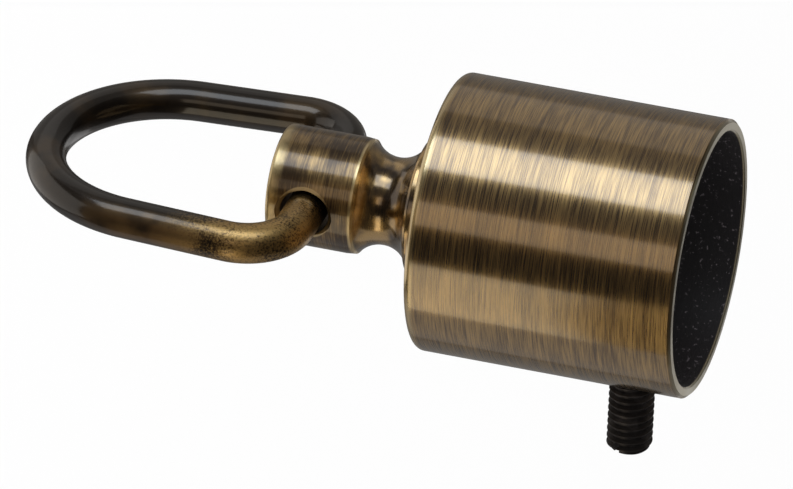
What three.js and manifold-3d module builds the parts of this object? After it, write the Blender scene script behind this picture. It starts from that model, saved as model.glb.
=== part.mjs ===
// Rope end fitting with a swing ring.
//
// A cup takes the end of a 32 mm rope and a grub screw in its wall clamps it. A turned eye stands on the
// cup's closed end, held by a nut inside, and a D-shaped wire ring swings in the eye's cross hole.
//
// Millimetres. The fitting hangs from its rope, so +Z is up, along the rope's axis and out of the cup's
// mouth, whose centre is the origin. The ring hangs straight down in the cross hole, which lies along Y, and
// the grub screw points to +X.

import * as THREE from "three";
import { mergeVertices } from "three/addons/utils/BufferGeometryUtils.js";
import Module from "manifold-3d";

// Cup
const CUP_RADIUS = 18;
const CUP_WALL = 1.5;
const CUP_LENGTH = 35.2;
const CUP_FLOOR = 3;
const CUP_END_ROUND = 0.9;
const CUP_MOUTH_CHAMFER = 0.4;
const CUP_BORE_CHAMFER = 0.2;
const CUP_INNER_ROUND = 1;

// Eye stud
const HEAD_RADIUS = 7.55;
const HEAD_LENGTH = 11.35;
const HEAD_ROUND = 0.6;
const HEAD_LIP = 0.12;
const HEAD_LIP_LENGTH = 1.2;
const COVE_RADIUS = 4.15;
const COVE_END_TURN = 0.25;
const NECK_RADIUS = 5.7;
const NECK_FROM_CUP = 6.9;
const COLLAR_RADIUS = 9;
const COLLAR_EDGE = 0.2;
const STUD_THREAD_RADIUS = 3.95;
const STUD_THREAD_CHAMFER = 0.6;
const STUD_PAST_NUT = 1.2;
const CROSS_HOLE_RADIUS = 3.2;
const CROSS_HOLE_FROM_CUP = 16.45;
const CROSS_HOLE_FLARE = 0.3;

// Fixing inside the cup
const FIXING_BORE_RADIUS = 4.05;
const WASHER_RADIUS = 7.4;
const WASHER_THICKNESS = 2;
const WASHER_SPLIT = 1;
const WASHER_SPLIT_SLANT = Math.PI / 9;
const NUT_ACROSS_FLATS = 13;
const NUT_THICKNESS = 4;
const NUT_CHAMFER = 0.6;

// Ring
const WIRE_RADIUS = 2.6;
const BAR_HALF = 10.6;
const RING_CORNER_RADIUS = 6.7;
const RING_BOW_RADIUS = 16.3;
const RING_REACH = 36;

// Grub screw, M6 with a pitch of 1
const SCREW_RADIUS = 2.96;
const SCREW_ROOT_RADIUS = 2.4;
const SCREW_PITCH = 1;
const SCREW_LENGTH = 16;
const SCREW_STANDS_OUT = 11.3;
const SCREW_FROM_MOUTH = 9.15;
const SCREW_HOLE_RADIUS = 3.05;
const SCREW_CHAMFER = 0.6;
const SCREW_SPARE = 0.2;
const SLOT_WIDTH = 0.8;
const SLOT_DEPTH = 1.6;
const SLOT_TURN = 0.35 * Math.PI;

// Fineness of the round shapes
const CUP_SIDES = 64;
const STUD_SIDES = 40;
const SMALL_SIDES = 24;
const WIRE_SIDES = 16;
const WIRE_STEPS = 84;
const ROUND_STEPS = 3;
const COVE_STEPS = 12;
const SCREW_SIDES = 20;

// Places along Z
const cupEnd = -CUP_LENGTH;
const floorTop = cupEnd + CUP_FLOOR;
const washerTop = floorTop + WASHER_THICKNESS;
const nutTop = washerTop + NUT_THICKNESS;
const studTip = nutTop + STUD_PAST_NUT;
const neckCentre = cupEnd - NECK_FROM_CUP;
const crossHoleCentre = cupEnd - CROSS_HOLE_FROM_CUP;
const screwCentre = -SCREW_FROM_MOUTH;
const screwOuterEnd = CUP_RADIUS + SCREW_STANDS_OUT;

// A finish's colour, roughness and metalness.
function finish(color, roughness) {
  return new THREE.MeshStandardMaterial({ color, roughness, metalness: 1 });
}

const wasm = await Module();
wasm.setup();

// A geometry's closed surface as a solid that can be cut and joined.
function solidOf(geometry) {
  const bare = geometry.clone();
  bare.deleteAttribute("normal");
  bare.deleteAttribute("uv");
  const merged = mergeVertices(bare, 1e-4);
  return new wasm.Manifold(
    new wasm.Mesh({
      numProp: 3,
      vertProperties: merged.attributes.position.array,
      triVerts: new Uint32Array(merged.index.array),
    }),
  );
}

function geometryOf(solid) {
  const mesh = solid.getMesh();
  const geometry = new THREE.BufferGeometry();
  geometry.setAttribute("position", new THREE.BufferAttribute(mesh.vertProperties, 3));
  geometry.setIndex(new THREE.BufferAttribute(mesh.triVerts, 1));
  geometry.computeVertexNormals();
  return geometry;
}

// Points of a quarter round from one angle to another, in (radius, place) coordinates.
function arc(centreRadius, centrePlace, radius, fromAngle, toAngle, steps) {
  return Array.from({ length: steps + 1 }, (_, step) => {
    const angle = fromAngle + ((toAngle - fromAngle) * step) / steps;
    return new THREE.Vector2(
      centreRadius + radius * Math.cos(angle),
      centrePlace + radius * Math.sin(angle),
    );
  });
}

// Lathes and cylinders are made about Y. This exact change of axes stands them up along Z.
function alongZ(geometry) {
  return geometry.applyMatrix4(
    new THREE.Matrix4().makeBasis(
      new THREE.Vector3(0, 1, 0),
      new THREE.Vector3(0, 0, 1),
      new THREE.Vector3(1, 0, 0),
    ),
  );
}

// Lays a shape that stands along Z down towards -X, so that its foot is its end at +X.
function laidInwards(geometry) {
  return geometry.applyMatrix4(
    new THREE.Matrix4().makeBasis(
      new THREE.Vector3(0, 0, 1),
      new THREE.Vector3(0, 1, 0),
      new THREE.Vector3(-1, 0, 0),
    ),
  );
}

function ropeCup() {
  const bore = CUP_RADIUS - CUP_WALL;
  const start = new THREE.Vector2(FIXING_BORE_RADIUS, cupEnd);
  const profile = [
    start,
    ...arc(
      CUP_RADIUS - CUP_END_ROUND,
      cupEnd + CUP_END_ROUND,
      CUP_END_ROUND,
      -Math.PI / 2,
      0,
      ROUND_STEPS,
    ),
    new THREE.Vector2(CUP_RADIUS, -CUP_MOUTH_CHAMFER),
    new THREE.Vector2(CUP_RADIUS - CUP_MOUTH_CHAMFER, 0),
    new THREE.Vector2(bore + CUP_BORE_CHAMFER, 0),
    new THREE.Vector2(bore, -CUP_BORE_CHAMFER),
    ...arc(bore - CUP_INNER_ROUND, floorTop + CUP_INNER_ROUND, CUP_INNER_ROUND, 0, -Math.PI / 2, ROUND_STEPS),
    new THREE.Vector2(FIXING_BORE_RADIUS, floorTop),
    start.clone(),
  ];
  const shell = solidOf(alongZ(new THREE.LatheGeometry(profile, CUP_SIDES)));
  const drill = new THREE.CylinderGeometry(
    SCREW_HOLE_RADIUS,
    SCREW_HOLE_RADIUS,
    3 * CUP_WALL,
    SMALL_SIDES,
  );
  const hole = laidInwards(alongZ(drill)).translate(CUP_RADIUS - CUP_WALL / 2, 0, screwCentre);
  return geometryOf(shell.subtract(solidOf(hole)));
}

// The turn along the cove from the neck's narrowest place to the head's edge.
function coveTurnAtHead() {
  const drop = NECK_RADIUS + COVE_RADIUS - (HEAD_RADIUS - HEAD_LIP);
  return Math.acos(drop / COVE_RADIUS);
}

function eyeStud() {
  const coveTurn = coveTurnAtHead();
  const headInner = neckCentre - COVE_RADIUS * Math.sin(coveTurn);
  const headOuter = headInner - HEAD_LENGTH;
  const coveAxis = NECK_RADIUS + COVE_RADIUS;
  const profile = [
    new THREE.Vector2(0, headOuter),
    ...arc(HEAD_RADIUS - HEAD_ROUND, headOuter + HEAD_ROUND, HEAD_ROUND, -Math.PI / 2, 0, ROUND_STEPS),
    new THREE.Vector2(HEAD_RADIUS, headInner - HEAD_LIP_LENGTH),
    ...arc(
      coveAxis,
      neckCentre,
      COVE_RADIUS,
      Math.PI + coveTurn,
      Math.PI / 2 + COVE_END_TURN,
      COVE_STEPS,
    ),
    new THREE.Vector2(COLLAR_RADIUS, neckCentre + COVE_RADIUS + COLLAR_EDGE),
    new THREE.Vector2(COLLAR_RADIUS, cupEnd),
    new THREE.Vector2(STUD_THREAD_RADIUS, cupEnd),
    new THREE.Vector2(STUD_THREAD_RADIUS, studTip - STUD_THREAD_CHAMFER),
    new THREE.Vector2(STUD_THREAD_RADIUS - STUD_THREAD_CHAMFER, studTip),
    new THREE.Vector2(0, studTip),
  ];
  const blank = solidOf(alongZ(new THREE.LatheGeometry(profile, STUD_SIDES)));
  return geometryOf(blank.subtract(solidOf(crossHole())));
}

// The cutter for the hole through the head. It lies along Y and opens out at both ends.
function crossHole() {
  const flareStart = HEAD_RADIUS - 2 * CROSS_HOLE_FLARE;
  const flareEnd = HEAD_RADIUS + CROSS_HOLE_FLARE;
  const flareRadius = CROSS_HOLE_RADIUS + flareEnd - flareStart;
  const profile = [
    new THREE.Vector2(0, -flareEnd),
    new THREE.Vector2(flareRadius, -flareEnd),
    new THREE.Vector2(CROSS_HOLE_RADIUS, -flareStart),
    new THREE.Vector2(CROSS_HOLE_RADIUS, flareStart),
    new THREE.Vector2(flareRadius, flareEnd),
    new THREE.Vector2(0, flareEnd),
  ];
  return new THREE.LatheGeometry(profile, SMALL_SIDES).translate(0, 0, crossHoleCentre);
}

function lockWasher() {
  const start = new THREE.Vector2(FIXING_BORE_RADIUS, floorTop);
  const profile = [
    start,
    new THREE.Vector2(WASHER_RADIUS, floorTop),
    new THREE.Vector2(WASHER_RADIUS, washerTop),
    new THREE.Vector2(FIXING_BORE_RADIUS, washerTop),
    start.clone(),
  ];
  const ring = alongZ(new THREE.LatheGeometry(profile, SMALL_SIDES));
  const split = new THREE.BoxGeometry(WASHER_RADIUS, WASHER_SPLIT, 3 * WASHER_THICKNESS);
  split.rotateX(WASHER_SPLIT_SLANT);
  split.translate((FIXING_BORE_RADIUS + WASHER_RADIUS) / 2, 0, (floorTop + washerTop) / 2);
  return geometryOf(solidOf(ring).subtract(solidOf(split)));
}

function lockNut() {
  const cornerRadius = NUT_ACROSS_FLATS / Math.sqrt(3);
  const block = alongZ(new THREE.CylinderGeometry(cornerRadius, cornerRadius, NUT_THICKNESS, 6));
  block.translate(0, 0, (washerTop + nutTop) / 2);
  const start = new THREE.Vector2(FIXING_BORE_RADIUS, washerTop);
  const profile = [
    start,
    new THREE.Vector2(cornerRadius - NUT_CHAMFER, washerTop),
    new THREE.Vector2(cornerRadius, washerTop + NUT_CHAMFER / 2),
    new THREE.Vector2(cornerRadius, nutTop - NUT_CHAMFER / 2),
    new THREE.Vector2(cornerRadius - NUT_CHAMFER, nutTop),
    new THREE.Vector2(FIXING_BORE_RADIUS, nutTop),
    start.clone(),
  ];
  const envelope = alongZ(new THREE.LatheGeometry(profile, 2 * SMALL_SIDES));
  return geometryOf(solidOf(block).intersect(solidOf(envelope)));
}

// The ring's centreline, in coordinates (distance from the bar, place along the bar). Each leg is the
// straight line that touches both the corner's arc and the bow's, and legTurn is the way its normal points.
function ringOutline() {
  const corner = new THREE.Vector2(RING_CORNER_RADIUS, BAR_HALF);
  const bow = new THREE.Vector2(RING_REACH - RING_BOW_RADIUS, 0);
  const between = bow.clone().sub(corner);
  const legTurn =
    Math.atan2(between.y, between.x) +
    Math.acos((RING_CORNER_RADIUS - RING_BOW_RADIUS) / between.length());
  const outline = new THREE.Path();
  outline.moveTo(0, -BAR_HALF);
  outline.lineTo(0, BAR_HALF);
  outline.absarc(corner.x, corner.y, RING_CORNER_RADIUS, Math.PI, legTurn, true);
  outline.absarc(bow.x, bow.y, RING_BOW_RADIUS, legTurn, -legTurn, true);
  outline.absarc(corner.x, -corner.y, RING_CORNER_RADIUS, -legTurn, -Math.PI, true);
  return outline;
}

// The same line hung in the YZ plane, with the bar in the cross hole and the bow below it.
class RingCentreline extends THREE.Curve {
  constructor() {
    super();
    this.outline = ringOutline();
  }

  getPoint(along, target = new THREE.Vector3()) {
    const point = this.outline.getPoint(along);
    return target.set(0, point.y, crossHoleCentre - point.x);
  }
}

function swingRing() {
  return new THREE.TubeGeometry(new RingCentreline(), WIRE_STEPS, WIRE_RADIUS, WIRE_SIDES, true);
}

// One pitch of the thread's section: how far along the pitch each corner lies, and its radius.
const threadSection = [
  [0, SCREW_RADIUS],
  [1 / 8, SCREW_RADIUS],
  [7 / 16, SCREW_ROOT_RADIUS],
  [11 / 16, SCREW_ROOT_RADIUS],
];

// A right-hand thread as one closed skin. Its rows of corners climb one pitch in each turn, so the last
// corner of a row meets the first corner of the row one section further up. It is solid from one pitch
// above its lower end to one pitch below its upper end.
function threadBlank(turns) {
  const perPitch = threadSection.length;
  const rows = turns * perPitch;
  const across = SCREW_SIDES + 1;
  const corner = (row, side) => row * across + side;
  const points = [];
  const faces = [];
  for (let row = 0; row <= rows; row++) {
    const [share, radius] = threadSection[row % perPitch];
    const start = (Math.floor(row / perPitch) + share) * SCREW_PITCH;
    for (let side = 0; side < across; side++) {
      const turn = side / SCREW_SIDES;
      const angle = 2 * Math.PI * turn;
      points.push(radius * Math.cos(angle), radius * Math.sin(angle), start + turn * SCREW_PITCH);
    }
  }
  for (let row = 0; row < rows; row++) {
    for (let side = 0; side < SCREW_SIDES; side++) {
      faces.push(corner(row, side), corner(row, side + 1), corner(row + 1, side + 1));
      faces.push(corner(row, side), corner(row + 1, side + 1), corner(row + 1, side));
    }
  }
  const lowerRim = [];
  const upperRim = [];
  for (let side = 0; side < SCREW_SIDES; side++) {
    lowerRim.push(corner(0, side));
    upperRim.push(corner(rows, SCREW_SIDES - side));
  }
  for (let row = 0; row < perPitch; row++) {
    lowerRim.push(corner(perPitch - row, 0));
    upperRim.push(corner(rows - perPitch + row, SCREW_SIDES));
  }
  const ends = [
    [lowerRim, 0],
    [upperRim, (turns + 1) * SCREW_PITCH],
  ];
  for (const [rim, height] of ends) {
    const middle = points.length / 3;
    points.push(0, 0, height);
    rim.forEach((point, index) => faces.push(rim[(index + 1) % rim.length], point, middle));
  }
  const skin = new THREE.BufferGeometry();
  skin.setAttribute("position", new THREE.Float32BufferAttribute(points, 3));
  skin.setIndex(faces);
  return skin;
}

// The screw is built standing on its slotted end, which in place is the outer one.
function grubScrew() {
  const turns = Math.ceil(SCREW_LENGTH / SCREW_PITCH) + 1;
  const thread = threadBlank(turns).translate(0, 0, -SCREW_PITCH);
  const envelope = new THREE.LatheGeometry(
    [
      new THREE.Vector2(0, 0),
      new THREE.Vector2(SCREW_RADIUS - SCREW_CHAMFER, 0),
      new THREE.Vector2(SCREW_RADIUS + SCREW_SPARE, SCREW_CHAMFER + SCREW_SPARE),
      new THREE.Vector2(SCREW_RADIUS + SCREW_SPARE, SCREW_LENGTH - SCREW_CHAMFER - SCREW_SPARE),
      new THREE.Vector2(SCREW_RADIUS - SCREW_CHAMFER, SCREW_LENGTH),
      new THREE.Vector2(0, SCREW_LENGTH),
    ],
    SMALL_SIDES,
  );
  const slot = new THREE.BoxGeometry(4 * SCREW_RADIUS, SLOT_WIDTH, 2 * SLOT_DEPTH).rotateZ(SLOT_TURN);
  const screw = solidOf(thread).intersect(solidOf(alongZ(envelope))).subtract(solidOf(slot));
  return laidInwards(geometryOf(screw)).translate(screwOuterEnd, 0, screwCentre);
}

const pieces = [
  ["rope_cup", ropeCup(), finish(0x8a6a3f, 0.38)],
  ["eye_stud", eyeStud(), finish(0x6e5232, 0.25)],
  ["lock_washer", lockWasher(), finish(0x8f8f88, 0.45)],
  ["lock_nut", lockNut(), finish(0x9a9a94, 0.4)],
  ["swing_ring", swingRing(), finish(0x2f2620, 0.25)],
  ["grub_screw", grubScrew(), finish(0x17181a, 0.45)],
];

const ropeEndFitting = new THREE.Group();
for (const [name, geometry, material] of pieces) {
  const mesh = new THREE.Mesh(geometry, material);
  mesh.name = name;
  ropeEndFitting.add(mesh);
}

export default ropeEndFitting;
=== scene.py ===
"""A rope end fitting in antique brass, with its swing ring, fixing and grub screw, in a pale studio.

Metres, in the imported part's frame: +Z runs along the rope's axis, up and out of the cup's mouth, and
the ring hangs down from the cross hole, which lies along Y.
"""

import math

import bmesh
import bpy
from bpy.props import FloatProperty, FloatVectorProperty, IntProperty, PointerProperty
from mathutils import Matrix, Vector


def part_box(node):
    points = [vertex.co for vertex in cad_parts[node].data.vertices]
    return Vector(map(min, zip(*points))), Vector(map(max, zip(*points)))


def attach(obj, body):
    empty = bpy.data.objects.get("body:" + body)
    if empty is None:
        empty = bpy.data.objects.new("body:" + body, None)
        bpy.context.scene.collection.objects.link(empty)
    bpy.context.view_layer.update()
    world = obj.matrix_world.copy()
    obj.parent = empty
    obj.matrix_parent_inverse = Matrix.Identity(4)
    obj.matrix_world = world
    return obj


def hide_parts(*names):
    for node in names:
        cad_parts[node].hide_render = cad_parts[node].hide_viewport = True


bl_info = {
    "name": "Rope End Fitting",
    "version": (1, 0, 0),
    "blender": (4, 5, 0),
    "location": "3D View > Sidebar > Rope Fitting",
    "description": "Makes a brass rope end fitting with a swing ring and a grub screw, in a pale studio",
    "category": "Add Mesh",
}

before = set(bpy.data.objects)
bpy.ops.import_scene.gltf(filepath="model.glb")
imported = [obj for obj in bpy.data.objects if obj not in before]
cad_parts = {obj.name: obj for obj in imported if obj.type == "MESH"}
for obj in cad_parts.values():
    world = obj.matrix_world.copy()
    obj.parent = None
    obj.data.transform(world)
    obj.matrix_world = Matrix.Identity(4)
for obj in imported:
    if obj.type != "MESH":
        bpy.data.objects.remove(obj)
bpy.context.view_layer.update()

MM = 0.001
QUARTER = math.pi / 2

CUP_LOW, CUP_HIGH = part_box("rope_cup")
STUD_LOW, STUD_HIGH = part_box("eye_stud")
WASHER_LOW, WASHER_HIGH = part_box("lock_washer")
NUT_LOW, NUT_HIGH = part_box("lock_nut")
_, RING_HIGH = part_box("swing_ring")
SCREW_LOW, SCREW_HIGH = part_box("grub_screw")


# Properties

DECIMALS = 5
FEWEST_SIDES = 3


def length(name, description, default):
    """A size in metres."""
    return FloatProperty(
        name=name,
        description=description,
        default=default,
        min=0.0,
        precision=DECIMALS,
        unit="LENGTH",
        subtype="DISTANCE",
    )


def place(name, description, default):
    """A place along an axis, in metres."""
    return FloatProperty(
        name=name,
        description=description,
        default=default,
        precision=DECIMALS,
        unit="LENGTH",
        subtype="DISTANCE",
    )


def angle(name, description, degrees):
    """An angle, shown in degrees."""
    return FloatProperty(
        name=name, description=description, default=math.radians(degrees), subtype="ANGLE"
    )


def colour(name, description, red, green, blue):
    """A scene linear colour."""
    return FloatVectorProperty(
        name=name,
        description=description,
        default=(red, green, blue, 1.0),
        size=4,
        min=0.0,
        max=1.0,
        subtype="COLOR",
    )


def count(name, description, default):
    """A number of sides."""
    return IntProperty(name=name, description=description, default=default, min=FEWEST_SIDES)


class CupSizes(bpy.types.PropertyGroup):
    """Sizes of the cup that takes the rope's end."""

    radius: length("Radius", "Outer radius of the cup", CUP_HIGH.x)
    closed_end: place("Closed end", "Height of the closed end", CUP_LOW.z)
    mouth: place("Mouth", "Height of the mouth's rim", CUP_HIGH.z)
    wall: length("Wall", "Thickness of the wall", 1.5 * MM)
    floor: length("Floor", "Thickness of the closed end", 3 * MM)
    end_round: length("End rounding", "Rounding of the closed end's edge", 0.9 * MM)
    mouth_chamfer: length("Mouth chamfer", "Chamfer round the outside of the mouth", 0.4 * MM)
    bore_chamfer: length("Bore chamfer", "Chamfer round the inside of the mouth", 0.2 * MM)
    inner_round: length("Inner rounding", "Rounding where the bore meets the floor", 1 * MM)
    fixing_bore: length("Fixing bore", "Radius of the hole for the stud", 4.05 * MM)
    screw_bore: length("Screw bore", "Radius of the hole for the grub screw", 3.05 * MM)
    sides: count("Sides", "Sides of the round shape", 288)


class EyeSizes(bpy.types.PropertyGroup):
    """Sizes of the turned eye and its threaded end."""

    head_radius: length("Head radius", "Radius of the cross-drilled head", 7.55 * MM)
    head_end: place("Head end", "Height of the head's free end", STUD_LOW.z)
    head_length: length("Head length", "Length of the head", 11.35 * MM)
    head_round: length("Head rounding", "Rounding of the head's free end", 0.6 * MM)
    lip: length("Lip", "Fall of the head towards the neck", 0.12 * MM)
    lip_length: length("Lip length", "Length over which the head falls to the neck", 1.2 * MM)
    neck_radius: length("Neck radius", "Radius of the neck at its narrowest", 5.7 * MM)
    neck_from_cup: length("Neck from cup", "From the closed end to the neck's narrowest place", 6.9 * MM)
    cove_radius: length("Cove radius", "Radius of the neck's hollow", 4.15 * MM)
    cove_end: angle("Cove end", "Turn left over where the cove meets the collar", 14.3)
    collar_radius: length("Collar radius", "Radius of the collar on the cup", STUD_HIGH.x)
    collar_edge: length("Collar edge", "Step between the cove and the collar's edge", 0.2 * MM)
    hole_radius: length("Cross hole", "Radius of the cross hole", 3.2 * MM)
    hole_from_cup: length("Cross hole place", "From the closed end to the cross hole's axis", 16.45 * MM)
    hole_flare: length("Flare", "Flare at the cross hole's ends", 0.3 * MM)
    thread_end: place("Thread end", "Height of the threaded end", STUD_HIGH.z)
    thread_radius: length("Thread radius", "Crest radius of the stud's thread", 3.95 * MM)
    thread_root: length("Thread root", "Root radius of the stud's thread", 3.25 * MM)
    thread_pitch: length("Thread pitch", "Pitch of the stud's thread", 1.25 * MM)
    thread_chamfer: length("Thread chamfer", "Chamfer at the thread's end", 0.75 * MM)
    thread_sides: count("Thread sides", "Sides of the stud's thread", 64)
    sides: count("Sides", "Sides of the round shape", 224)


class FixingSizes(bpy.types.PropertyGroup):
    """Sizes of the washer and the nut inside the cup."""

    bore: length("Bore", "Radius of the washer's and the nut's bore", 4.05 * MM)
    washer_radius: length("Washer radius", "Outer radius of the washer", WASHER_HIGH.x)
    washer_split: length("Split", "Width of the washer's split", 1 * MM)
    split_slant: angle("Split slant", "Slant of the washer's split", 20)
    edge_round: length("Edge rounding", "Rounding of the washer's edges", 0.15 * MM)
    nut_flats: length("Across flats", "Width of the nut across its flats", 13 * MM)
    nut_chamfer: length("Nut chamfer", "Chamfer of the nut's corners", 0.6 * MM)
    sides: count("Sides", "Sides of the round shapes", 96)


class RingSizes(bpy.types.PropertyGroup):
    """Sizes of the swing ring."""

    wire: length("Wire radius", "Radius of the ring's wire", RING_HIGH.x)
    bar_half: length("Half bar", "Half the length of the straight bar in the eye", 10.6 * MM)
    corner: length("Corner radius", "Radius of the corners beside the bar", 6.7 * MM)
    bow: length("Bow radius", "Radius of the bow", 16.3 * MM)
    reach: length("Reach", "From the bar's centreline to the bow's", 36 * MM)
    sides: count("Sides", "Sides of the wire", 56)


class ScrewSizes(bpy.types.PropertyGroup):
    """Sizes of the grub screw, M6 with a pitch of 1 mm."""

    radius: length("Radius", "Crest radius of the thread", 2.96 * MM)
    root: length("Root", "Root radius of the thread", 2.4 * MM)
    pitch: length("Pitch", "Pitch of the thread", 1 * MM)
    outer_end: place("Outer end", "Place of the slotted end along X", SCREW_HIGH.x)
    inner_end: place("Inner end", "Place of the clamping end along X", SCREW_LOW.x)
    from_mouth: length("From mouth", "From the mouth to the screw's axis", 9.15 * MM)
    chamfer: length("Chamfer", "Chamfer at both ends", 0.6 * MM)
    slot_width: length("Slot width", "Width of the driver slot", 0.8 * MM)
    slot_depth: length("Slot depth", "Depth of the driver slot", 1.6 * MM)
    slot_turn: angle("Slot turn", "Turn of the slot about the screw", 63)
    sides: count("Sides", "Sides of the thread", 72)


class FinishColours(bpy.types.PropertyGroup):
    """Colours of the finishes."""

    rubbed_brass: colour("Rubbed brass", "Brass where brushing has bared it", 0.68, 0.44, 0.165)
    brown_patina: colour("Brown patina", "Patina between the brush marks", 0.155, 0.090, 0.034)
    dull_brass: colour("Dull brass", "Brushed brass under the eye's patina", 0.52, 0.335, 0.130)
    dark_patina: colour("Dark patina", "Patina on the eye and in its cove", 0.075, 0.045, 0.022)
    worn_gold: colour("Worn gold", "Brass on worn edges", 0.86, 0.66, 0.33)
    satin_rim: colour("Satin rim", "The mouth's rim", 0.42, 0.39, 0.28)
    # Near black painted over the inside of the cup's bore, from just under the mouth down to the floor.
    bore_black: colour("Bore black", "The blackened bore", 0.014, 0.012, 0.013)
    dark_bronze: colour("Dark bronze", "The ring's patina", 0.030, 0.023, 0.018)
    # Bronze brown is a faint patina in patches, and is also painted along the ring's outer side as a
    # painted sheen.
    bronze_brown: colour("Bronze brown", "Thin patina on the ring", 0.30, 0.185, 0.080)
    black_oxide: colour("Black oxide", "The grub screw", 0.036, 0.032, 0.031)
    spring_steel: colour("Spring steel", "The washer", 0.30, 0.30, 0.29)
    plated_steel: colour("Plated steel", "The nut", 0.52, 0.51, 0.48)
    pale_floor: colour("Pale floor", "The studio's floor", 0.90, 0.90, 0.90)


class StudioSettings(bpy.types.PropertyGroup):
    """The camera and the floor."""

    camera_distance: length("Camera distance", "From the camera to what it aims at", 1.61)
    lens: FloatProperty(
        name="Lens", description="Focal length in millimetres", default=576.8, min=1.0
    )
    aim: FloatVectorProperty(
        name="Aim",
        description="The point that the camera looks at",
        default=(0.0001, -0.0103, -0.0383),
        size=3,
        precision=DECIMALS,
        unit="LENGTH",
        subtype="TRANSLATION",
    )
    side_turn: angle("Side turn", "The camera's turn about the rope's axis, from -Y to -X", 30.59)
    height: angle("Height", "The camera's angle above the level", 13.68)
    roll: angle("Roll", "The camera's lean about its line of sight", 10.43)
    floor_drop: length("Floor drop", "From the mouth down to the floor", 1.3)
    floor_width: length("Floor width", "Width of the floor", 16.0)


# Node trees


class Value:
    """An output in a node tree. Python's operators on it add Math nodes to the tree."""

    def __init__(self, graph, socket):
        self.graph = graph
        self.socket = socket

    def maths(self, operation, *others):
        return self.graph.maths(operation, self, *others)

    def __add__(self, other):
        return self.maths("ADD", other)

    def __radd__(self, other):
        return self.graph.maths("ADD", other, self)

    def __sub__(self, other):
        return self.maths("SUBTRACT", other)

    def __rsub__(self, other):
        return self.graph.maths("SUBTRACT", other, self)

    def __mul__(self, other):
        return self.maths("MULTIPLY", other)

    def __rmul__(self, other):
        return self.graph.maths("MULTIPLY", other, self)

    def __truediv__(self, other):
        return self.maths("DIVIDE", other)

    def __pow__(self, power):
        return self.maths("POWER", power)

    def least(self, other):
        return self.maths("MINIMUM", other)

    def most(self, other):
        return self.maths("MAXIMUM", other)

    def ranged(self, low, high, to_low=0.0, to_high=1.0, shape="SMOOTHSTEP"):
        """The value's place between low and high, held at the ends."""
        return self.graph.node(
            "ShaderNodeMapRange",
            {"interpolation_type": shape, "clamp": True},
            {"Value": self, "From Min": low, "From Max": high, "To Min": to_low, "To Max": to_high},
        )


class Graph:
    """Adds nodes to a shader tree or a geometry tree."""

    def __init__(self, tree):
        self.tree = tree

    def node(self, kind, settings=None, sockets=None, output=0):
        """Adds a node, sets its settings, fills its sockets and gives one of its outputs."""
        made = self.tree.nodes.new(kind)
        for name, setting in (settings or {}).items():
            setattr(made, name, setting)
        for name, content in (sockets or {}).items():
            if isinstance(content, Value):
                self.tree.links.new(content.socket, made.inputs[name])
            else:
                made.inputs[name].default_value = content
        return Value(self, made.outputs[output]) if made.outputs else made

    def maths(self, operation, *terms):
        return self.node("ShaderNodeMath", {"operation": operation}, dict(enumerate(terms)))

    def mix(self, amount, first, second):
        """A colour that goes from the first to the second."""
        return self.node(
            "ShaderNodeMix",
            {"data_type": "RGBA", "clamp_factor": True},
            {0: amount, 6: first, 7: second},
            output=2,
        )

    def combined(self, x, y, z):
        return self.node("ShaderNodeCombineXYZ", None, {"X": x, "Y": y, "Z": z})

    def part(self, vector, axis):
        return self.node("ShaderNodeSeparateXYZ", None, {"Vector": vector}, output=axis)


class Finish(Graph):
    """A material with one Principled shader, and the patterns that it is made from."""

    def __init__(self, name):
        self.material = bpy.data.materials.new(name)
        self.material.use_nodes = True
        super().__init__(self.material.node_tree)
        self.tree.nodes.clear()
        self.position = self.node("ShaderNodeTexCoord", output="Object")

    def noise(self, scales, detail, roughness, shift=(0.0, 0.0, 0.0)):
        """Noise with features of 1/scale metres along each axis."""
        stretched = self.node(
            "ShaderNodeMapping",
            None,
            {"Vector": self.position, "Location": shift, "Scale": scales},
        )
        return self.node(
            "ShaderNodeTexNoise",
            None,
            {"Vector": stretched, "Scale": 1.0, "Detail": detail, "Roughness": roughness},
        )

    def even_noise(self, scale, detail, roughness, shift=(0.0, 0.0, 0.0)):
        """Noise that is the same along every axis."""
        return self.noise((scale, scale, scale), detail, roughness, shift)

    def brush_marks(self, along, across, shift=0.0):
        """Noise drawn out round the Z axis: long marks, close together along Z."""
        return self.noise((along, along, across), 3.0, 0.6, (shift, shift, shift))

    def from_axis(self):
        """Distance from the Z axis."""
        x = self.part(self.position, "X")
        y = self.part(self.position, "Y")
        return (x * x + y * y) ** 0.5

    def distance_to(self, point):
        return self.node(
            "ShaderNodeVectorMath",
            {"operation": "DISTANCE"},
            {0: self.position, 1: point},
            output="Value",
        )

    def bump(self, height, depth, strength=1.0, under=None):
        sockets = {"Height": height, "Distance": depth, "Strength": strength}
        if under:
            sockets["Normal"] = under
        return self.node("ShaderNodeBump", None, sockets)

    def shade(self, **sockets):
        """Ends the material with its shader. Socket names are given with _ for a space."""
        filled = {name.replace("_", " "): content for name, content in sockets.items()}
        shader = self.node("ShaderNodeBsdfPrincipled", None, filled)
        self.node("ShaderNodeOutputMaterial", None, {"Surface": shader})
        return self.material


# Finishes

# The brush marks run round the Z axis, so an anisotropic highlight is turned by a quarter.
QUARTER_TURN = 0.25


def scaled(shade, factor):
    """A colour made paler or darker."""
    return tuple(factor * part for part in shade)


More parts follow.
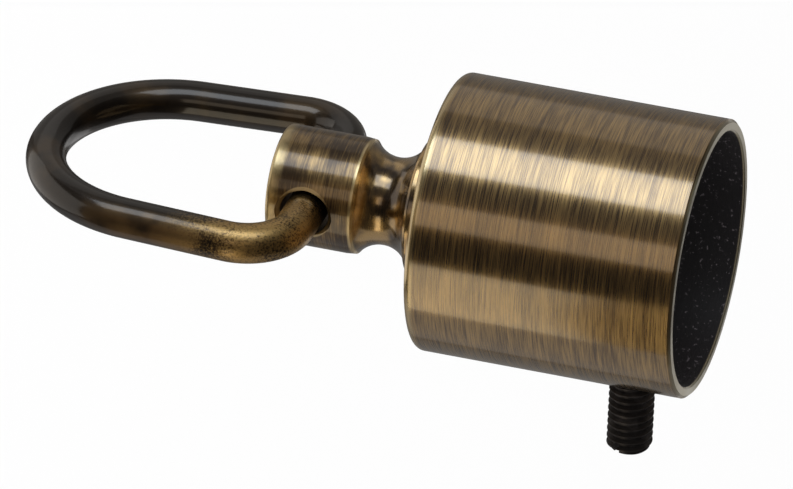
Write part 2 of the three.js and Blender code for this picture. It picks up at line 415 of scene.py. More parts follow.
def near_black_bore(finish, colours, depth):
    """Near black, with pale specks and a faint ring of chatter marks."""
    ring_depth = 7.5 * MM
    ticks_per_radian = 170.0
    paleness = 7
    specks = finish.even_noise(2100.0, 2.0, 0.6).ranged(0.62, 0.70)
    around = finish.part(finish.position, "Y").maths("ARCTAN2", finish.part(finish.position, "X"))
    ticks = (around * ticks_per_radian).maths("SINE").ranged(0.1, 0.9)
    beside = (depth + ring_depth).maths("ABSOLUTE").ranged(0.75 * MM, 0.45 * MM)
    worn = finish.even_noise(60.0, 2.0, 0.5, (1.0, 4.0, 2.0)).ranged(0.45, 0.6)
    pale = specks.most(ticks * beside * worn)
    return finish.mix(pale, tuple(colours.bore_black), scaled(colours.bore_black, paleness))


def brushed_brass(colours, sizes):
    """Antique brass, brushed round the cup and lacquered, with a worn edge, a satin rim and a black
    bore."""
    finish = Finish("brushed_brass")
    height = finish.part(finish.position, "Z")
    outwards = finish.from_axis()
    fine = finish.brush_marks(190.0, 7200.0)
    broad = finish.brush_marks(90.0, 2600.0, shift=3.7)
    cloud = finish.noise((90.0, 90.0, 300.0), 3.0, 0.55, (9.1, 2.3, 4.4))
    marks = fine * 0.55 + broad * 0.25 + cloud * 0.2
    bared = marks.ranged(0.37, 0.65)
    brass = finish.mix(bared, tuple(colours.brown_patina), tuple(colours.rubbed_brass))

    wander = 0.8 * MM
    edge_noise = finish.noise((120.0, 120.0, 900.0), 3.0, 0.5, (1.3, 5.2, 0.4))
    edge_height = height - sizes.closed_end + (edge_noise - 0.5) * wander
    worn_edge = edge_height.ranged(1.4 * MM, 0.7 * MM)
    worn_edge = worn_edge * outwards.ranged(sizes.radius - 2.2 * MM, sizes.radius - 0.9 * MM)
    brass = finish.mix(worn_edge * 0.8, brass, tuple(colours.worn_gold))

    rim = (height - sizes.mouth).ranged(-0.45 * MM, -0.1 * MM)
    brass = finish.mix(rim * 0.85, brass, tuple(colours.satin_rim))
    # Near black painted over the inside of the bore, from just under the mouth down to the floor, not
    # metallic and without the coat.
    inside = outwards.ranged(sizes.radius - 0.4 * sizes.wall, sizes.radius - 0.9 * sizes.wall)
    deep = height.ranged(sizes.mouth - 0.05 * MM, sizes.mouth - 0.35 * MM)
    above_floor = (height - sizes.closed_end).ranged(0.4 * sizes.floor, 0.7 * sizes.floor)
    near_black = inside * deep * above_floor
    black = near_black_bore(finish, colours, height - sizes.mouth)
    brass = finish.mix(near_black, brass, black)

    rough = 0.24 + 0.12 * fine.ranged(0.3, 0.7) + rim * 0.12
    rough = rough + near_black * 0.35
    relief_depth = 0.03 * MM
    return finish.shade(
        Base_Color=brass,
        Metallic=1.0 - near_black,
        Roughness=rough,
        Anisotropic=0.8,
        Anisotropic_Rotation=QUARTER_TURN,
        Coat_Weight=1.0 - near_black.most(rim * 0.8),
        Coat_Roughness=0.13,
        Coat_IOR=1.95,
        Normal=finish.bump(fine * 0.6 + broad * 0.4, relief_depth, 0.5),
    )


def turned_brass(colours, sizes):
    """Antique brass, brushed on the head, dark and polished in the cove, bare on its edges."""
    finish = Finish("turned_brass")
    height = finish.part(finish.position, "Z")
    outwards = finish.from_axis()
    fine = finish.brush_marks(330.0, 8000.0, shift=1.9)
    broad = finish.brush_marks(150.0, 2400.0, shift=6.1)
    cloud = finish.noise((200.0, 200.0, 260.0), 3.0, 0.55, (2.2, 7.7, 1.1))
    marks = fine * 0.35 + broad * 0.25 + cloud * 0.4
    bared = marks.ranged(0.42, 0.68)
    head = finish.mix(bared, tuple(colours.dark_patina), tuple(colours.dull_brass))

    wander = 1.4 * MM
    edge_noise = finish.noise((420.0, 420.0, 700.0), 3.0, 0.6, (5.0, 1.0, 3.0))
    edge_height = height - sizes.head_end + (edge_noise - 0.5) * wander
    outer_edge = edge_height.ranged(2.1 * MM, 0.5 * MM)
    ridge_height = sizes.head_end + sizes.head_length
    ridge = (height - ridge_height).maths("ABSOLUTE").ranged(0.45 * MM, 0.15 * MM)
    bare = (outer_edge * 0.8).most(ridge * 0.85) * outwards.ranged(5.6 * MM, 6.8 * MM)
    head = finish.mix(bare, head, tuple(colours.worn_gold))

    x = finish.part(finish.position, "X")
    from_hole = height - (CUP_LOW.z - sizes.hole_from_cup)
    hole_distance = (x * x + from_hole * from_hole) ** 0.5
    beside_hole = hole_distance - sizes.hole_radius - sizes.hole_flare
    hole_edge = beside_hole.ranged(0.18 * MM, 0.04 * MM) * outwards.ranged(6.8 * MM, 7.2 * MM)
    head = finish.mix(hole_edge * 0.6, head, tuple(colours.worn_gold))

    cove = height.ranged(ridge_height - 0.1 * MM, ridge_height + 0.5 * MM)
    patches = cloud.ranged(0.35, 0.65)
    dark = finish.mix(patches, tuple(colours.dark_patina), tuple(colours.rubbed_brass))
    head = finish.mix(cove * (1.0 - ridge), head, dark)

    rough = 0.32 + 0.10 * fine.ranged(0.3, 0.7)
    relief_depth = 0.015 * MM
    return finish.shade(
        Base_Color=head,
        Metallic=1.0,
        Roughness=rough - cove * 0.14,
        Anisotropic=0.5,
        Anisotropic_Rotation=QUARTER_TURN,
        Coat_Weight=0.75 + 0.25 * cove,
        Coat_Roughness=0.14,
        Coat_IOR=1.7,
        Normal=finish.bump(fine * 0.6 + broad * 0.4, relief_depth, (1.0 - cove) * 0.3),
    )


def dark_bronze(colours, ring, eye):
    """Dark glossy patina on brass wire, with brown painted along its outer side as a painted sheen,
    faint brown patina in patches, and rubbed to gold near a corner.
    """
    finish = Finish("dark_bronze")
    hole_height = CUP_LOW.z - eye.hole_from_cup
    near_corner = (0.0, -ring.bar_half - 0.8 * ring.corner, hole_height - 0.3 * ring.corner)
    along = finish.part(finish.position, "Y").maths("ABSOLUTE")
    mottle = finish.even_noise(3600.0, 4.0, 0.6)
    cloud = finish.even_noise(170.0, 3.0, 0.5, (3.0, 8.0, 1.0))
    # Brown painted along the outer side of the wire: a painted sheen of the overhead light.
    outer = (along - ring.bar_half - ring.corner).ranged(-0.5 * MM, 2.2 * MM)
    brown_sheen_and_patina = outer * cloud.ranged(0.3, 0.6) * 0.6 + cloud.ranged(0.45, 0.75) * 0.2
    bronze = finish.mix(brown_sheen_and_patina, tuple(colours.dark_bronze), tuple(colours.bronze_brown))
    near = finish.distance_to(near_corner).ranged(15 * MM, 4 * MM)
    rubbed = near * (mottle * 0.6 + cloud * 0.4).ranged(0.38, 0.58)
    bronze = finish.mix(rubbed * 0.85, bronze, tuple(colours.rubbed_brass))
    pits = finish.bump(mottle, 0.01 * MM, 0.3)
    return finish.shade(
        Base_Color=bronze,
        Metallic=1.0,
        Roughness=0.34 + 0.08 * cloud + 0.06 * mottle,
        Coat_Weight=0.8 - 0.6 * near,
        Coat_Roughness=0.14,
        Coat_IOR=1.6,
        Normal=finish.bump(cloud, 0.05 * MM, 0.3, pits),
    )


def black_steel(colours):
    """Black oxide on a machine-cut screw."""
    finish = Finish("black_steel")
    grain = finish.even_noise(3500.0, 3.0, 0.6)
    patches = finish.even_noise(500.0, 3.0, 0.5, (4.0, 4.0, 1.0)).ranged(0.45, 0.75)
    oxide = finish.mix(patches, tuple(colours.black_oxide), scaled(colours.black_oxide, 2.2))
    return finish.shade(
        Base_Color=oxide,
        Metallic=0.8,
        Roughness=0.34 + 0.14 * grain,
        Normal=finish.bump(grain, 0.01 * MM, 0.4),
    )


def plain_steel(name, shade, rough):
    """Bare or plated steel with a fine grain."""
    finish = Finish(name)
    grain = finish.even_noise(1800.0, 3.0, 0.6)
    cloud = finish.even_noise(300.0, 3.0, 0.5, (7.0, 2.0, 5.0)).ranged(0.3, 0.7)
    steel = finish.mix(cloud, tuple(shade), scaled(shade, 0.6))
    return finish.shade(
        Base_Color=steel,
        Metallic=1.0,
        Roughness=rough + 0.12 * grain,
        Normal=finish.bump(grain, 0.01 * MM, 0.4),
    )


def pale_floor(colours):
    """Matt pale floor, very slightly uneven in colour."""
    finish = Finish("pale_floor")
    cloud = finish.even_noise(1.2, 2.0, 0.5)
    shade = finish.mix(cloud * 0.2, tuple(colours.pale_floor), scaled(colours.pale_floor, 0.97))
    return finish.shade(Base_Color=shade, Roughness=0.9)


# Shapes

SAME_PLACE = 1e-8
SAME_VERTEX = 1e-7
CREASE_ANGLE = math.radians(32)
BEVEL_ANGLE = math.radians(40)


def arc(centre, radius, start, end, steps):
    """Points (radius, height) of an arc round a centre, from one angle to another."""
    return [
        (
            centre[0] + radius * math.cos(start + (end - start) * step / steps),
            centre[1] + radius * math.sin(start + (end - start) * step / steps),
        )
        for step in range(steps + 1)
    ]


def with_loops(outline, closed, spacing, near=0.08 * MM):
    """The outline with extra points on its long runs: one near each end, so that edges stay crisp,
    and even ones between."""
    points = []
    last = len(outline) if closed else len(outline) - 1
    for index in range(last):
        start = Vector(outline[index])
        end = Vector(outline[(index + 1) % len(outline)])
        run = (end - start).length
        points.append(tuple(start))
        if run > 4 * near:
            steps = max(1, round((run - 2 * near) / spacing))
            for step in range(steps + 1):
                at = near + (run - 2 * near) * step / steps
                points.append(tuple(start.lerp(end, at / run)))
    if not closed:
        points.append(tuple(outline[-1]))
    return points


def turned(outline, sides, closed=False):
    """A mesh turned about the Z axis from an outline of (radius, height) points."""
    shape = bmesh.new()
    rings = []
    angles = [2 * math.pi * side / sides for side in range(sides)]
    for radius, height in outline:
        if radius < SAME_VERTEX:
            rings.append([shape.verts.new((0.0, 0.0, height))] * sides)
        else:
            rings.append(
                [
                    shape.verts.new((radius * math.cos(angle), radius * math.sin(angle), height))
                    for angle in angles
                ]
            )
    pairs = list(zip(rings, rings[1:]))
    if closed:
        pairs.append((rings[-1], rings[0]))
    for lower, upper in pairs:
        for side in range(sides):
            beside = (side + 1) % sides
            corners = []
            for vertex in (lower[side], lower[beside], upper[beside], upper[side]):
                if vertex not in corners:
                    corners.append(vertex)
            shape.faces.new(corners)
    return finished_mesh(shape)


def prism(outline, low, high):
    """An upright block with a flat outline of (x, y) points."""
    shape = bmesh.new()
    bottom = [shape.verts.new((x, y, low)) for x, y in outline]
    top = [shape.verts.new((x, y, high)) for x, y in outline]
    shape.faces.new(bottom)
    shape.faces.new(top)
    for index in range(len(outline)):
        beside = (index + 1) % len(outline)
        shape.faces.new((bottom[index], bottom[beside], top[beside], top[index]))
    return finished_mesh(shape)


def finished_mesh(shape):
    """Closes a bmesh's seams, turns its faces outwards and gives it as a mesh."""
    bmesh.ops.remove_doubles(shape, verts=shape.verts, dist=SAME_PLACE)
    bmesh.ops.recalc_face_normals(shape, faces=shape.faces)
    mesh = bpy.data.meshes.new("shape")
    shape.to_mesh(mesh)
    shape.free()
    return mesh


def helper(mesh):
    """An object that holds a mesh only while a shape is made."""
    made = bpy.data.objects.new("helper", mesh)
    bpy.context.scene.collection.objects.link(made)
    return made


def applied(made):
    """The mesh that an object's modifiers make. The object is removed."""
    depsgraph = bpy.context.evaluated_depsgraph_get()
    mesh = bpy.data.meshes.new_from_object(made.evaluated_get(depsgraph))
    bpy.data.objects.remove(made)
    return mesh


def combined_mesh(mesh, operation, *others):
    """A mesh with others cut from it, or kept only where it lies inside them."""
    made = helper(mesh)
    tools = [helper(other) for other in others]
    for tool in tools:
        modifier = made.modifiers.new("shape", "BOOLEAN")
        modifier.operation = operation
        modifier.solver = "EXACT"
        modifier.object = tool
    result = applied(made)
    for tool in tools:
        bpy.data.objects.remove(tool)
    return result


def bevelled(mesh, width, segments=3):
    """A mesh with its sharp edges rounded."""
    made = helper(mesh)
    modifier = made.modifiers.new("edges", "BEVEL")
    modifier.width = width
    modifier.segments = segments
    modifier.limit_method = "ANGLE"
    modifier.angle_limit = BEVEL_ANGLE
    return applied(made)


def laid_inwards(at):
    """Lays a shape that stands along Z down towards -X, with its foot at a point."""
    axes = Matrix(((0, 0, -1), (0, 1, 0), (1, 0, 0)))
    return Matrix.Translation(at) @ axes.to_4x4()


def piece(name, mesh, material, body, slot, *nodes):
    """Puts a finished mesh in the scene as a piece that rides on a body."""
    cleaned = bmesh.new()
    cleaned.from_mesh(mesh)
    bmesh.ops.remove_doubles(cleaned, verts=cleaned.verts, dist=SAME_VERTEX)
    bmesh.ops.dissolve_degenerate(cleaned, edges=cleaned.edges, dist=SAME_PLACE)
    bmesh.ops.recalc_face_normals(cleaned, faces=cleaned.faces)
    cleaned.to_mesh(mesh)
    cleaned.free()
    mesh.name = name
    mesh.materials.clear()
    mesh.materials.append(material)
    mesh.shade_smooth()
    mesh.set_sharp_from_angle(angle=CREASE_ANGLE)
    made = bpy.data.objects.new(name, mesh)
    bpy.context.scene.collection.objects.link(made)
    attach(made, body)
    if nodes:
        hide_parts(*nodes)


# Geometry Nodes


class ShapeTree(Graph):
    """A Geometry Nodes tree with named inputs, which ends in Realize Instances and Set Material."""

    def __init__(self, name, inputs, takes_mesh=False):
        super().__init__(bpy.data.node_groups.new(name, "GeometryNodeTree"))
        interface = self.tree.interface
        if takes_mesh:
            interface.new_socket("Geometry", in_out="INPUT", socket_type="NodeSocketGeometry")
        for socket_name, kind in inputs.items():
            interface.new_socket(socket_name, in_out="INPUT", socket_type=kind)
        interface.new_socket("Material", in_out="INPUT", socket_type="NodeSocketMaterial")
        interface.new_socket("Geometry", in_out="OUTPUT", socket_type="NodeSocketGeometry")
        self.entry = self.tree.nodes.new("NodeGroupInput")

    def given(self, name):
        return Value(self, self.entry.outputs[name])

    def end(self, geometry):
        realized = self.node("GeometryNodeRealizeInstances", None, {"Geometry": geometry})
        coated = self.node(
            "GeometryNodeSetMaterial",
            None,
            {"Geometry": realized, "Material": self.given("Material")},
        )
        self.node("NodeGroupOutput", None, {0: coated})
        return self.tree

    @staticmethod
    def mesh_from(tree, settings, start=None):
        """The mesh that a tree makes with these settings, set by each socket's identifier."""
        made = helper(start or bpy.data.meshes.new("start"))
        modifier = made.modifiers.new(tree.name, "NODES")
        modifier.node_group = tree
        for item in tree.interface.items_tree:
            if item.in_out == "INPUT" and item.name in settings:
                modifier[item.identifier] = settings[item.name]
        return applied(made)


def thread_tree():
    """A right-hand thread that stands on Z = 0, with a chamfer at both ends and flat caps. Each row of
    the grid climbs one pitch in a turn, and rows past an end are gathered into the cap's rim."""
    tree = ShapeTree(
        "screw_thread",
        {
            "Radius": "NodeSocketFloat",
            "Root": "NodeSocketFloat",
            "Pitch": "NodeSocketFloat",
            "Length": "NodeSocketFloat",
            "Chamfer": "NodeSocketFloat",
            "Sides": "NodeSocketInt",
        },
    )
    rows_per_pitch = 16
    crest_end, root_start, root_end = 1 / 8, 7 / 16, 11 / 16
    seam = 2e-6
    radius, root, pitch = tree.given("Radius"), tree.given("Root"), tree.given("Pitch")
    whole, chamfer, sides = tree.given("Length"), tree.given("Chamfer"), tree.given("Sides")
    pitches = (whole / pitch).maths("CEIL") + 1
    grid = tree.node(
        "GeometryNodeMeshGrid",
        None,
        {
            "Size X": 1.0,
            "Size Y": 1.0,
            "Vertices X": sides + 1,
            "Vertices Y": pitches * rows_per_pitch + 1,
        },
    )
    position = tree.node("GeometryNodeInputPosition")
    turn = tree.part(position, "X") + 0.5
    row = (tree.part(position, "Y") + 0.5) * pitches - 1.0
    share_of_pitch = row.maths("FRACT")
    falling = share_of_pitch.ranged(crest_end, root_start, 1.0, 0.0, "LINEAR")
    rising = share_of_pitch.ranged(root_end, 1.0, shape="LINEAR")
    thread = root + (radius - root) * falling.most(rising)
    height = ((row + turn) * pitch).most(0.0).least(whole)
    from_end = height.least(whole - height)
    envelope = radius - (chamfer - from_end).most(0.0)
    across = thread.least(envelope)
    swing = turn * (2 * math.pi)
    wound_place = tree.combined(
        across * swing.maths("COSINE"), across * swing.maths("SINE"), height
    )
    wound = tree.node(
        "GeometryNodeSetPosition", None, {"Geometry": grid, "Position": wound_place}
    )
    cap = tree.node(
        "GeometryNodeMeshCircle",
        {"fill_type": "NGON"},
        {"Vertices": sides, "Radius": radius - chamfer},
    )
    foot = tree.node("GeometryNodeFlipFaces", None, {"Mesh": cap})
    top = tree.node(
        "GeometryNodeTransform",
        None,
        {"Geometry": cap, "Translation": tree.combined(0.0, 0.0, whole)},
    )
    join = tree.tree.nodes.new("GeometryNodeJoinGeometry")
    for part in (wound, foot, top):
        tree.tree.links.new(part.socket, join.inputs[0])
    closed = tree.node(
        "GeometryNodeMergeByDistance",
        None,
        {"Geometry": Value(tree, join.outputs[0]), "Distance": seam},
    )
    return tree.end(closed)


def wire_tree():
    """Round wire along the loop of edges that it is given."""
    tree = ShapeTree(
        "bent_wire", {"Radius": "NodeSocketFloat", "Sides": "NodeSocketInt"}, takes_mesh=True
    )
    line = tree.node("GeometryNodeMeshToCurve", None, {"Mesh": tree.given("Geometry")})
    section = tree.node(
        "GeometryNodeCurvePrimitiveCircle",
        None,
        {"Resolution": tree.given("Sides"), "Radius": tree.given("Radius")},
    )
    wire = tree.node(
        "GeometryNodeCurveToMesh", None, {"Curve": line, "Profile Curve": section}
    )
    return tree.end(wire)


# Pieces


def cup_mesh(sizes):
    """The cup, with its fixing bore and the grub screw's hole."""
    bore = sizes.radius - sizes.wall
    floor_top = sizes.closed_end + sizes.floor
    end_centre = (sizes.radius - sizes.end_round, sizes.closed_end + sizes.end_round)
    inner_centre = (bore - sizes.inner_round, floor_top + sizes.inner_round)
    outline = [
        (sizes.fixing_bore, sizes.closed_end),
        *arc(end_centre, sizes.end_round, -QUARTER, 0, steps=10),
        (sizes.radius, sizes.mouth - sizes.mouth_chamfer),
        (sizes.radius - sizes.mouth_chamfer, sizes.mouth),
        (bore + sizes.bore_chamfer, sizes.mouth),
        (bore, sizes.mouth - sizes.bore_chamfer),
        *arc(inner_centre, sizes.inner_round, 0, -QUARTER, steps=8),
        (sizes.fixing_bore, floor_top),
    ]
    shell = turned(with_loops(outline, True, 1.2 * MM), sizes.sides, closed=True)
    beyond = 3 * sizes.wall
    drill_outline = [
        (0, -beyond),
        (sizes.screw_bore, -beyond),
        (sizes.screw_bore, beyond),
        (0, beyond),
    ]
    drill = turned(drill_outline, sides=96)
    screw_height = sizes.mouth - bpy.context.scene.screw_sizes.from_mouth
    drill.transform(laid_inwards((sizes.radius, 0, screw_height)))
    return combined_mesh(shell, "DIFFERENCE", drill)


def eye_mesh(sizes, cup):
    """The eye outside the cup, with its flared cross hole."""
    neck = cup.closed_end - sizes.neck_from_cup
    cove_axis = sizes.neck_radius + sizes.cove_radius
    cove_turn = math.acos((cove_axis - sizes.head_radius + sizes.lip) / sizes.cove_radius)
    ridge = neck - sizes.cove_radius * math.sin(cove_turn)
    head_centre = (sizes.head_radius - sizes.head_round, sizes.head_end + sizes.head_round)
    cove_ends = (math.pi + cove_turn, QUARTER + sizes.cove_end)
    outline = [
        (0, sizes.head_end),
        *arc(head_centre, sizes.head_round, -QUARTER, 0, steps=8),
        (sizes.head_radius, ridge - sizes.lip_length),
        *arc((cove_axis, neck), sizes.cove_radius, *cove_ends, steps=40),
        (sizes.collar_radius, neck + sizes.cove_radius + sizes.collar_edge),
        (sizes.collar_radius, cup.closed_end),
        (0, cup.closed_end),
    ]
    blank = turned(with_loops(outline, False, 0.5 * MM), sizes.sides)
    flare_start = sizes.head_radius - 2 * sizes.hole_flare
    flare_end = sizes.head_radius + sizes.hole_flare
    flare_radius = sizes.hole_radius + flare_end - flare_start
    drill_outline = [
        (0, -flare_end),
        (flare_radius, -flare_end),
        (sizes.hole_radius, -flare_start),
        (sizes.hole_radius, flare_start),
        (flare_radius, flare_end),
        (0, flare_end),
    ]
    drill = turned(with_loops(drill_outline, False, 0.8 * MM), sides=128)
    hole_centre = Matrix.Translation((0, 0, cup.closed_end - sizes.hole_from_cup))
    drill.transform(hole_centre @ Matrix.Rotation(QUARTER, 4, "X"))
    return combined_mesh(blank, "DIFFERENCE", drill)


def ring_line(sizes, hole_height):
    """The ring's centreline as a loop of edges in the YZ plane. Each leg is the straight line that
    touches both the corner's arc and the bow's."""
    corner = Vector((sizes.corner, sizes.bar_half))
    bow = Vector((sizes.reach - sizes.bow, 0))
    between = bow - corner
    lean = math.acos((sizes.corner - sizes.bow) / between.length)
    leg_turn = math.atan2(between.y, between.x) + lean
    outline = [
        *arc(corner, sizes.corner, math.pi, leg_turn, steps=40),
        *arc(bow, sizes.bow, leg_turn, -leg_turn, steps=120),
        *arc((corner.x, -corner.y), sizes.corner, -leg_turn, -math.pi, steps=40),
    ]
    points = with_loops(outline, True, 1.0 * MM, near=0.3 * MM)
    line = bpy.data.meshes.new("ring_line")
    line.from_pydata(
        [(0, across, hole_height - down) for down, across in points],
        [(index, (index + 1) % len(points)) for index in range(len(points))],
        [],
    )
    return line


# Operators


class BuildOperator:
    """What the operators share."""

    bl_options = {"REGISTER", "UNDO"}


class ROPEFITTING_OT_cup(BuildOperator, bpy.types.Operator):
    """Makes the brushed cup that takes the rope's end"""

    bl_idname = "rope_fitting.cup"
    bl_label = "Rope cup"

    def execute(self, context):
        scene = context.scene
        material = brushed_brass(scene.finish_colours, scene.cup_sizes)
        shell = cup_mesh(scene.cup_sizes)
        piece("rope_cup_shell", shell, material, "cup", "brushed_brass", "rope_cup")
        return {"FINISHED"}


class ROPEFITTING_OT_eye(BuildOperator, bpy.types.Operator):
    """Makes the turned eye and its threaded end"""

    bl_idname = "rope_fitting.eye"
    bl_label = "Turned eye"

    def execute(self, context):
        scene = context.scene
        sizes = scene.eye_sizes
        material = turned_brass(scene.finish_colours, sizes)
        eye = eye_mesh(sizes, scene.cup_sizes)
        piece("turned_eye", eye, material, "cup", "turned_brass", "eye_stud")
        buried = 0.3 * MM
        foot = scene.cup_sizes.closed_end - buried
        thread = ShapeTree.mesh_from(
            thread_tree(),
            {
                "Radius": sizes.thread_radius,
                "Root": sizes.thread_root,
                "Pitch": sizes.thread_pitch,
                "Length": sizes.thread_end - foot,
                "Chamfer": sizes.thread_chamfer,
                "Sides": sizes.thread_sides,
                "Material": material,
            },
        )
        thread.transform(Matrix.Translation((0, 0, foot)))
        piece("stud_thread", thread, material, "cup", "turned_brass")
        return {"FINISHED"}


class ROPEFITTING_OT_fixing(BuildOperator, bpy.types.Operator):
    """Makes the split washer and the nut inside the cup"""

    bl_idname = "rope_fitting.fixing"
    bl_label = "Washer and nut"

    def execute(self, context):
        scene = context.scene
        sizes = scene.fixing_sizes
        colours = scene.finish_colours
        self.washer(sizes, colours)
        self.nut(sizes, colours)
        return {"FINISHED"}

    def washer(self, sizes, colours):
        low, high = WASHER_LOW.z, WASHER_HIGH.z
        outline = [
            (sizes.bore, low),
            (sizes.washer_radius, low),
            (sizes.washer_radius, high),
            (sizes.bore, high),
        ]
        ring = turned(outline, sizes.sides, closed=True)
        half_split = sizes.washer_split / 2
        reach = sizes.washer_radius * 1.2
        beyond = 3 * MM
        split = prism(
            [(0, -half_split), (reach, -half_split), (reach, half_split), (0, half_split)],
            -beyond,
            beyond,
        )
        middle = Matrix.Translation((sizes.bore / 2, 0, (low + high) / 2))
        split.transform(middle @ Matrix.Rotation(sizes.split_slant, 4, "X"))
        washer = bevelled(combined_mesh(ring, "DIFFERENCE", split), sizes.edge_round)
        material = plain_steel("spring_steel", colours.spring_steel, rough=0.36)
        piece("split_washer", washer, material, "cup", "spring_steel", "lock_washer")

    def nut(self, sizes, colours):
        low, high = NUT_LOW.z, NUT_HIGH.z
        corner = sizes.nut_flats / math.sqrt(3)
        side = math.pi / 3
        corners = [
            (corner * math.sin(side * turn), corner * math.cos(side * turn)) for turn in range(6)
        ]
        chamfer = sizes.nut_chamfer
        outline = [
            (sizes.bore, low),
            (corner - chamfer, low),
            (corner, low + chamfer / 2),
            (corner, high - chamfer / 2),
            (corner - chamfer, high),
            (sizes.bore, high),
        ]
        envelope = turned(outline, sizes.sides, closed=True)
        nut = combined_mesh(envelope, "INTERSECT", prism(corners, low - MM, high + MM))
        material = plain_steel("plated_steel", colours.plated_steel, rough=0.30)
        piece("hexagon_nut", nut, material, "cup", "plated_steel", "lock_nut")


class ROPEFITTING_OT_ring(BuildOperator, bpy.types.Operator):
    """Makes the swing ring of bent wire"""

    bl_idname = "rope_fitting.ring"
    bl_label = "Swing ring"

    def execute(self, context):
        scene = context.scene
        sizes = scene.ring_sizes
        material = dark_bronze(scene.finish_colours, sizes, scene.eye_sizes)
        hole_height = scene.cup_sizes.closed_end - scene.eye_sizes.hole_from_cup
        ring = ShapeTree.mesh_from(
            wire_tree(),
            {"Radius": sizes.wire, "Sides": sizes.sides, "Material": material},
            ring_line(sizes, hole_height),
        )
        piece("bent_ring", ring, material, "ring", "dark_bronze", "swing_ring")
        return {"FINISHED"}


class ROPEFITTING_OT_screw(BuildOperator, bpy.types.Operator):
    """Makes the slotted grub screw"""

    bl_idname = "rope_fitting.screw"
    bl_label = "Grub screw"

    def execute(self, context):
        scene = context.scene
        sizes = scene.screw_sizes
        material = black_steel(scene.finish_colours)
        thread = ShapeTree.mesh_from(
            thread_tree(),
            {
                "Radius": sizes.radius,
                "Root": sizes.root,
                "Pitch": sizes.pitch,
                "Length": sizes.outer_end - sizes.inner_end,
                "Chamfer": sizes.chamfer,
                "Sides": sizes.sides,
                "Material": material,
            },
        )
        half_width, reach = sizes.slot_width / 2, 2 * sizes.radius
        slot_outline = [
            (-reach, -half_width),
            (reach, -half_width),
            (reach, half_width),
            (-reach, half_width),
        ]
        cutter = prism(slot_outline, -sizes.slot_depth, sizes.slot_depth)
        cutter.transform(Matrix.Rotation(sizes.slot_turn, 4, "Z"))
        screw = combined_mesh(thread, "DIFFERENCE", cutter)
        height = scene.cup_sizes.mouth - sizes.from_mouth
        screw.transform(laid_inwards((sizes.outer_end, 0, height)))
        piece("slotted_screw", screw, material, "screw", "black_steel", "grub_screw")
        return {"FINISHED"}


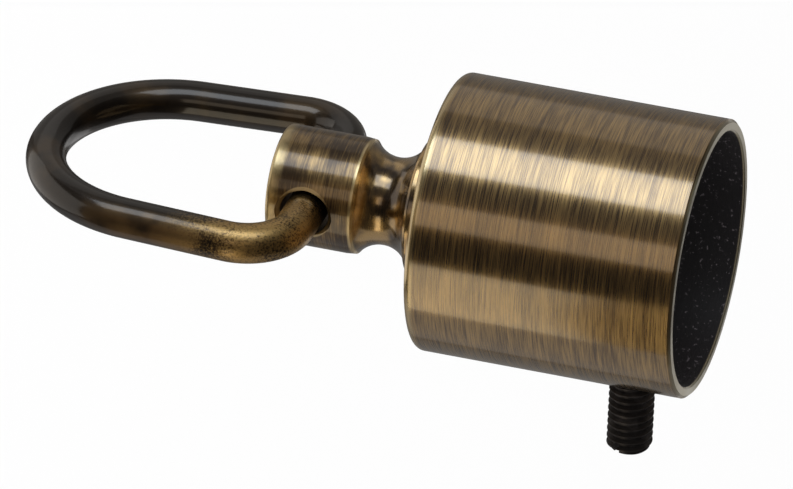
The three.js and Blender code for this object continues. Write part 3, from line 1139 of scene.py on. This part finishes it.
class ROPEFITTING_OT_stage(BuildOperator, bpy.types.Operator):
    """Makes the pale floor, the soft lights, the world and the camera"""

    bl_idname = "rope_fitting.stage"
    bl_label = "Studio"

    # Each light's name, turn about the rope's axis from -Y towards -X in degrees, width in degrees as
    # the axis sees it, distance from the axis in metres, heights of its foot and its top in metres,
    # brightness, colour, and how many nested panels it has. More panels give it softer sides.
    LIGHTS = (
        ("overhead_box", 76.0, 29.0, 0.6, -0.45, 0.17, 2.6, (0.84, 0.92, 1.0), 1),
        ("thin_strip", 25.0, 19.0, 0.25, -0.118, -0.035, 3.3, (1.0, 0.83, 0.62), 4),
        ("low_bounce", -37.0, 43.0, 0.2, -0.110, -0.056, 1.25, (1.0, 0.88, 0.66), 1),
        ("gap_fill", 46.0, 32.0, 0.6, -0.66, 0.34, 0.05, (1.0, 0.97, 0.93), 1),
        ("back_fill", 136.0, 38.0, 0.6, -0.66, 0.0, 0.85, (1.0, 0.97, 0.93), 4),
        ("top_fill", 145.0, 110.0, 0.6, -0.76, 0.44, 0.13, (1.0, 0.97, 0.93), 1),
        ("under_fill", -80.0, 40.0, 0.6, -0.76, 0.44, 0.27, (1.0, 0.98, 0.98), 1),
        ("under_back", -126.0, 48.0, 0.6, -0.76, 0.44, 0.14, (1.0, 1.0, 1.0), 1),
        ("rim_card", -150.0, 40.0, 0.6, 0.03, 0.40, 0.55, (1.0, 1.0, 1.0), 1),
    )
    END_LIGHT_DROP = 0.45
    END_LIGHT_SIZE = 0.55
    END_LIGHT_BRIGHTNESS = 0.7
    END_LIGHT_COLOUR = (1.0, 0.95, 0.88)

    ROOM_COLOUR = (1.0, 1.0, 1.0, 1.0)
    REFLECTED_COLOUR = (0.030, 0.026, 0.022, 1.0)
    ROOM_STRENGTH = 1.15

    SENSOR_WIDTH = 36.0
    NEAREST = 0.1
    FARTHEST = 30.0

    def execute(self, context):
        scene = context.scene
        settings = scene.studio_settings
        self.floor(settings, scene.finish_colours)
        for light in self.LIGHTS:
            self.light(*light)
        self.end_light()
        self.world(scene)
        self.camera(scene, settings)
        scene.view_settings.view_transform = "Standard"
        scene.cycles.use_denoising = True
        return {"FINISHED"}

    def floor(self, settings, colours):
        shape = bmesh.new()
        bmesh.ops.create_grid(shape, x_segments=1, y_segments=1, size=settings.floor_width / 2)
        mesh = bpy.data.meshes.new("studio_floor")
        shape.to_mesh(mesh)
        shape.free()
        mesh.transform(Matrix.Translation((0, 0, -settings.floor_drop)))
        mesh.materials.append(pale_floor(colours))
        floor = bpy.data.objects.new("studio_floor", mesh)
        bpy.context.scene.collection.objects.link(floor)
        floor.visible_glossy = False

    def light(self, name, turn, spread, distance, foot, top, brightness, shade, panels):
        """An upright soft light that faces the rope's axis."""
        turn = math.radians(turn)
        outwards = Vector((-math.sin(turn), -math.cos(turn), 0.0))
        place = outwards * distance + Vector((0, 0, (foot + top) / 2))
        widest = 2 * distance * math.tan(math.radians(spread / 2))
        for panel in range(panels):
            width = widest * (panel + 1) / panels
            self.lamp(name, place, -outwards, width, top - foot, brightness / panels, shade)

    def end_light(self):
        """A soft light below the ring that faces up."""
        self.lamp(
            "end_light",
            Vector((0, 0, -self.END_LIGHT_DROP)),
            Vector((0, 0, 1)),
            self.END_LIGHT_SIZE,
            self.END_LIGHT_SIZE,
            self.END_LIGHT_BRIGHTNESS,
            self.END_LIGHT_COLOUR,
        )

    def lamp(self, name, place, facing, width, tall, brightness, shade):
        """A rectangular light. Its power grows with its area, so its brightness doesn't."""
        lamp = bpy.data.lights.new(name, "AREA")
        lamp.shape = "RECTANGLE"
        lamp.size = width
        lamp.size_y = tall
        lamp.energy = brightness * math.pi * width * tall
        lamp.color = shade
        made = bpy.data.objects.new(name, lamp)
        bpy.context.scene.collection.objects.link(made)
        made.location = place
        made.rotation_euler = facing.to_track_quat("-Z", "Y").to_euler()

    def world(self, scene):
        """A white room to the eye, and a dim warm one in the metal's reflections."""
        world = bpy.data.worlds.new("studio_world")
        world.use_nodes = True
        graph = Graph(world.node_tree)
        graph.tree.nodes.clear()
        reflected = graph.node("ShaderNodeLightPath", output="Is Glossy Ray")
        room = graph.mix(reflected, self.ROOM_COLOUR, self.REFLECTED_COLOUR)
        background = graph.node(
            "ShaderNodeBackground", None, {"Color": room, "Strength": self.ROOM_STRENGTH}
        )
        graph.node("ShaderNodeOutputWorld", None, {"Surface": background})
        scene.world = world

    def camera(self, scene, settings):
        lens = bpy.data.cameras.new("camera")
        lens.sensor_width = self.SENSOR_WIDTH
        lens.lens = settings.lens
        camera = bpy.data.objects.new("camera", lens)
        scene.collection.objects.link(camera)
        level = math.cos(settings.height)
        back = Vector(
            (
                -math.sin(settings.side_turn) * level,
                -math.cos(settings.side_turn) * level,
                math.sin(settings.height),
            )
        )
        right = (Vector((0, 0, 1)) - back * back.z).normalized()
        up = back.cross(right)
        turn = Matrix.Rotation(settings.roll, 3, back)
        axes = Matrix((turn @ right, turn @ up, back)).transposed()
        place = Vector(settings.aim) + back * settings.camera_distance
        camera.matrix_world = Matrix.Translation(place) @ axes.to_4x4()
        lens.clip_start = self.NEAREST
        lens.clip_end = self.FARTHEST
        scene.camera = camera


class ROPEFITTING_PT_panel(bpy.types.Panel):
    """Lists the operators that make the fitting"""

    bl_idname = "ROPEFITTING_PT_panel"
    bl_label = "Rope Fitting"
    bl_space_type = "VIEW_3D"
    bl_region_type = "UI"
    bl_category = "Rope Fitting"

    def draw(self, context):
        for operator in OPERATORS:
            self.layout.operator(operator.bl_idname)
        for name in GROUPS:
            box = self.layout.box()
            box.label(text=name.replace("_", " ").capitalize())
            group = getattr(context.scene, name)
            for item in group.__annotations__:
                box.prop(group, item)


OPERATORS = (
    ROPEFITTING_OT_stage,
    ROPEFITTING_OT_cup,
    ROPEFITTING_OT_eye,
    ROPEFITTING_OT_fixing,
    ROPEFITTING_OT_ring,
    ROPEFITTING_OT_screw,
)

GROUPS = {
    "cup_sizes": CupSizes,
    "eye_sizes": EyeSizes,
    "fixing_sizes": FixingSizes,
    "ring_sizes": RingSizes,
    "screw_sizes": ScrewSizes,
    "finish_colours": FinishColours,
    "studio_settings": StudioSettings,
}

CLASSES = (*GROUPS.values(), *OPERATORS, ROPEFITTING_PT_panel)


def register():
    for item in CLASSES:
        bpy.utils.register_class(item)
    for name, group in GROUPS.items():
        setattr(bpy.types.Scene, name, PointerProperty(type=group))


def unregister():
    for name in GROUPS:
        delattr(bpy.types.Scene, name)
    for item in reversed(CLASSES):
        bpy.utils.unregister_class(item)


def main():
    register()
    bpy.ops.rope_fitting.stage()
    bpy.ops.rope_fitting.cup()
    bpy.ops.rope_fitting.eye()
    bpy.ops.rope_fitting.fixing()
    bpy.ops.rope_fitting.ring()
    bpy.ops.rope_fitting.screw()


if __name__ == "__main__":
    main()
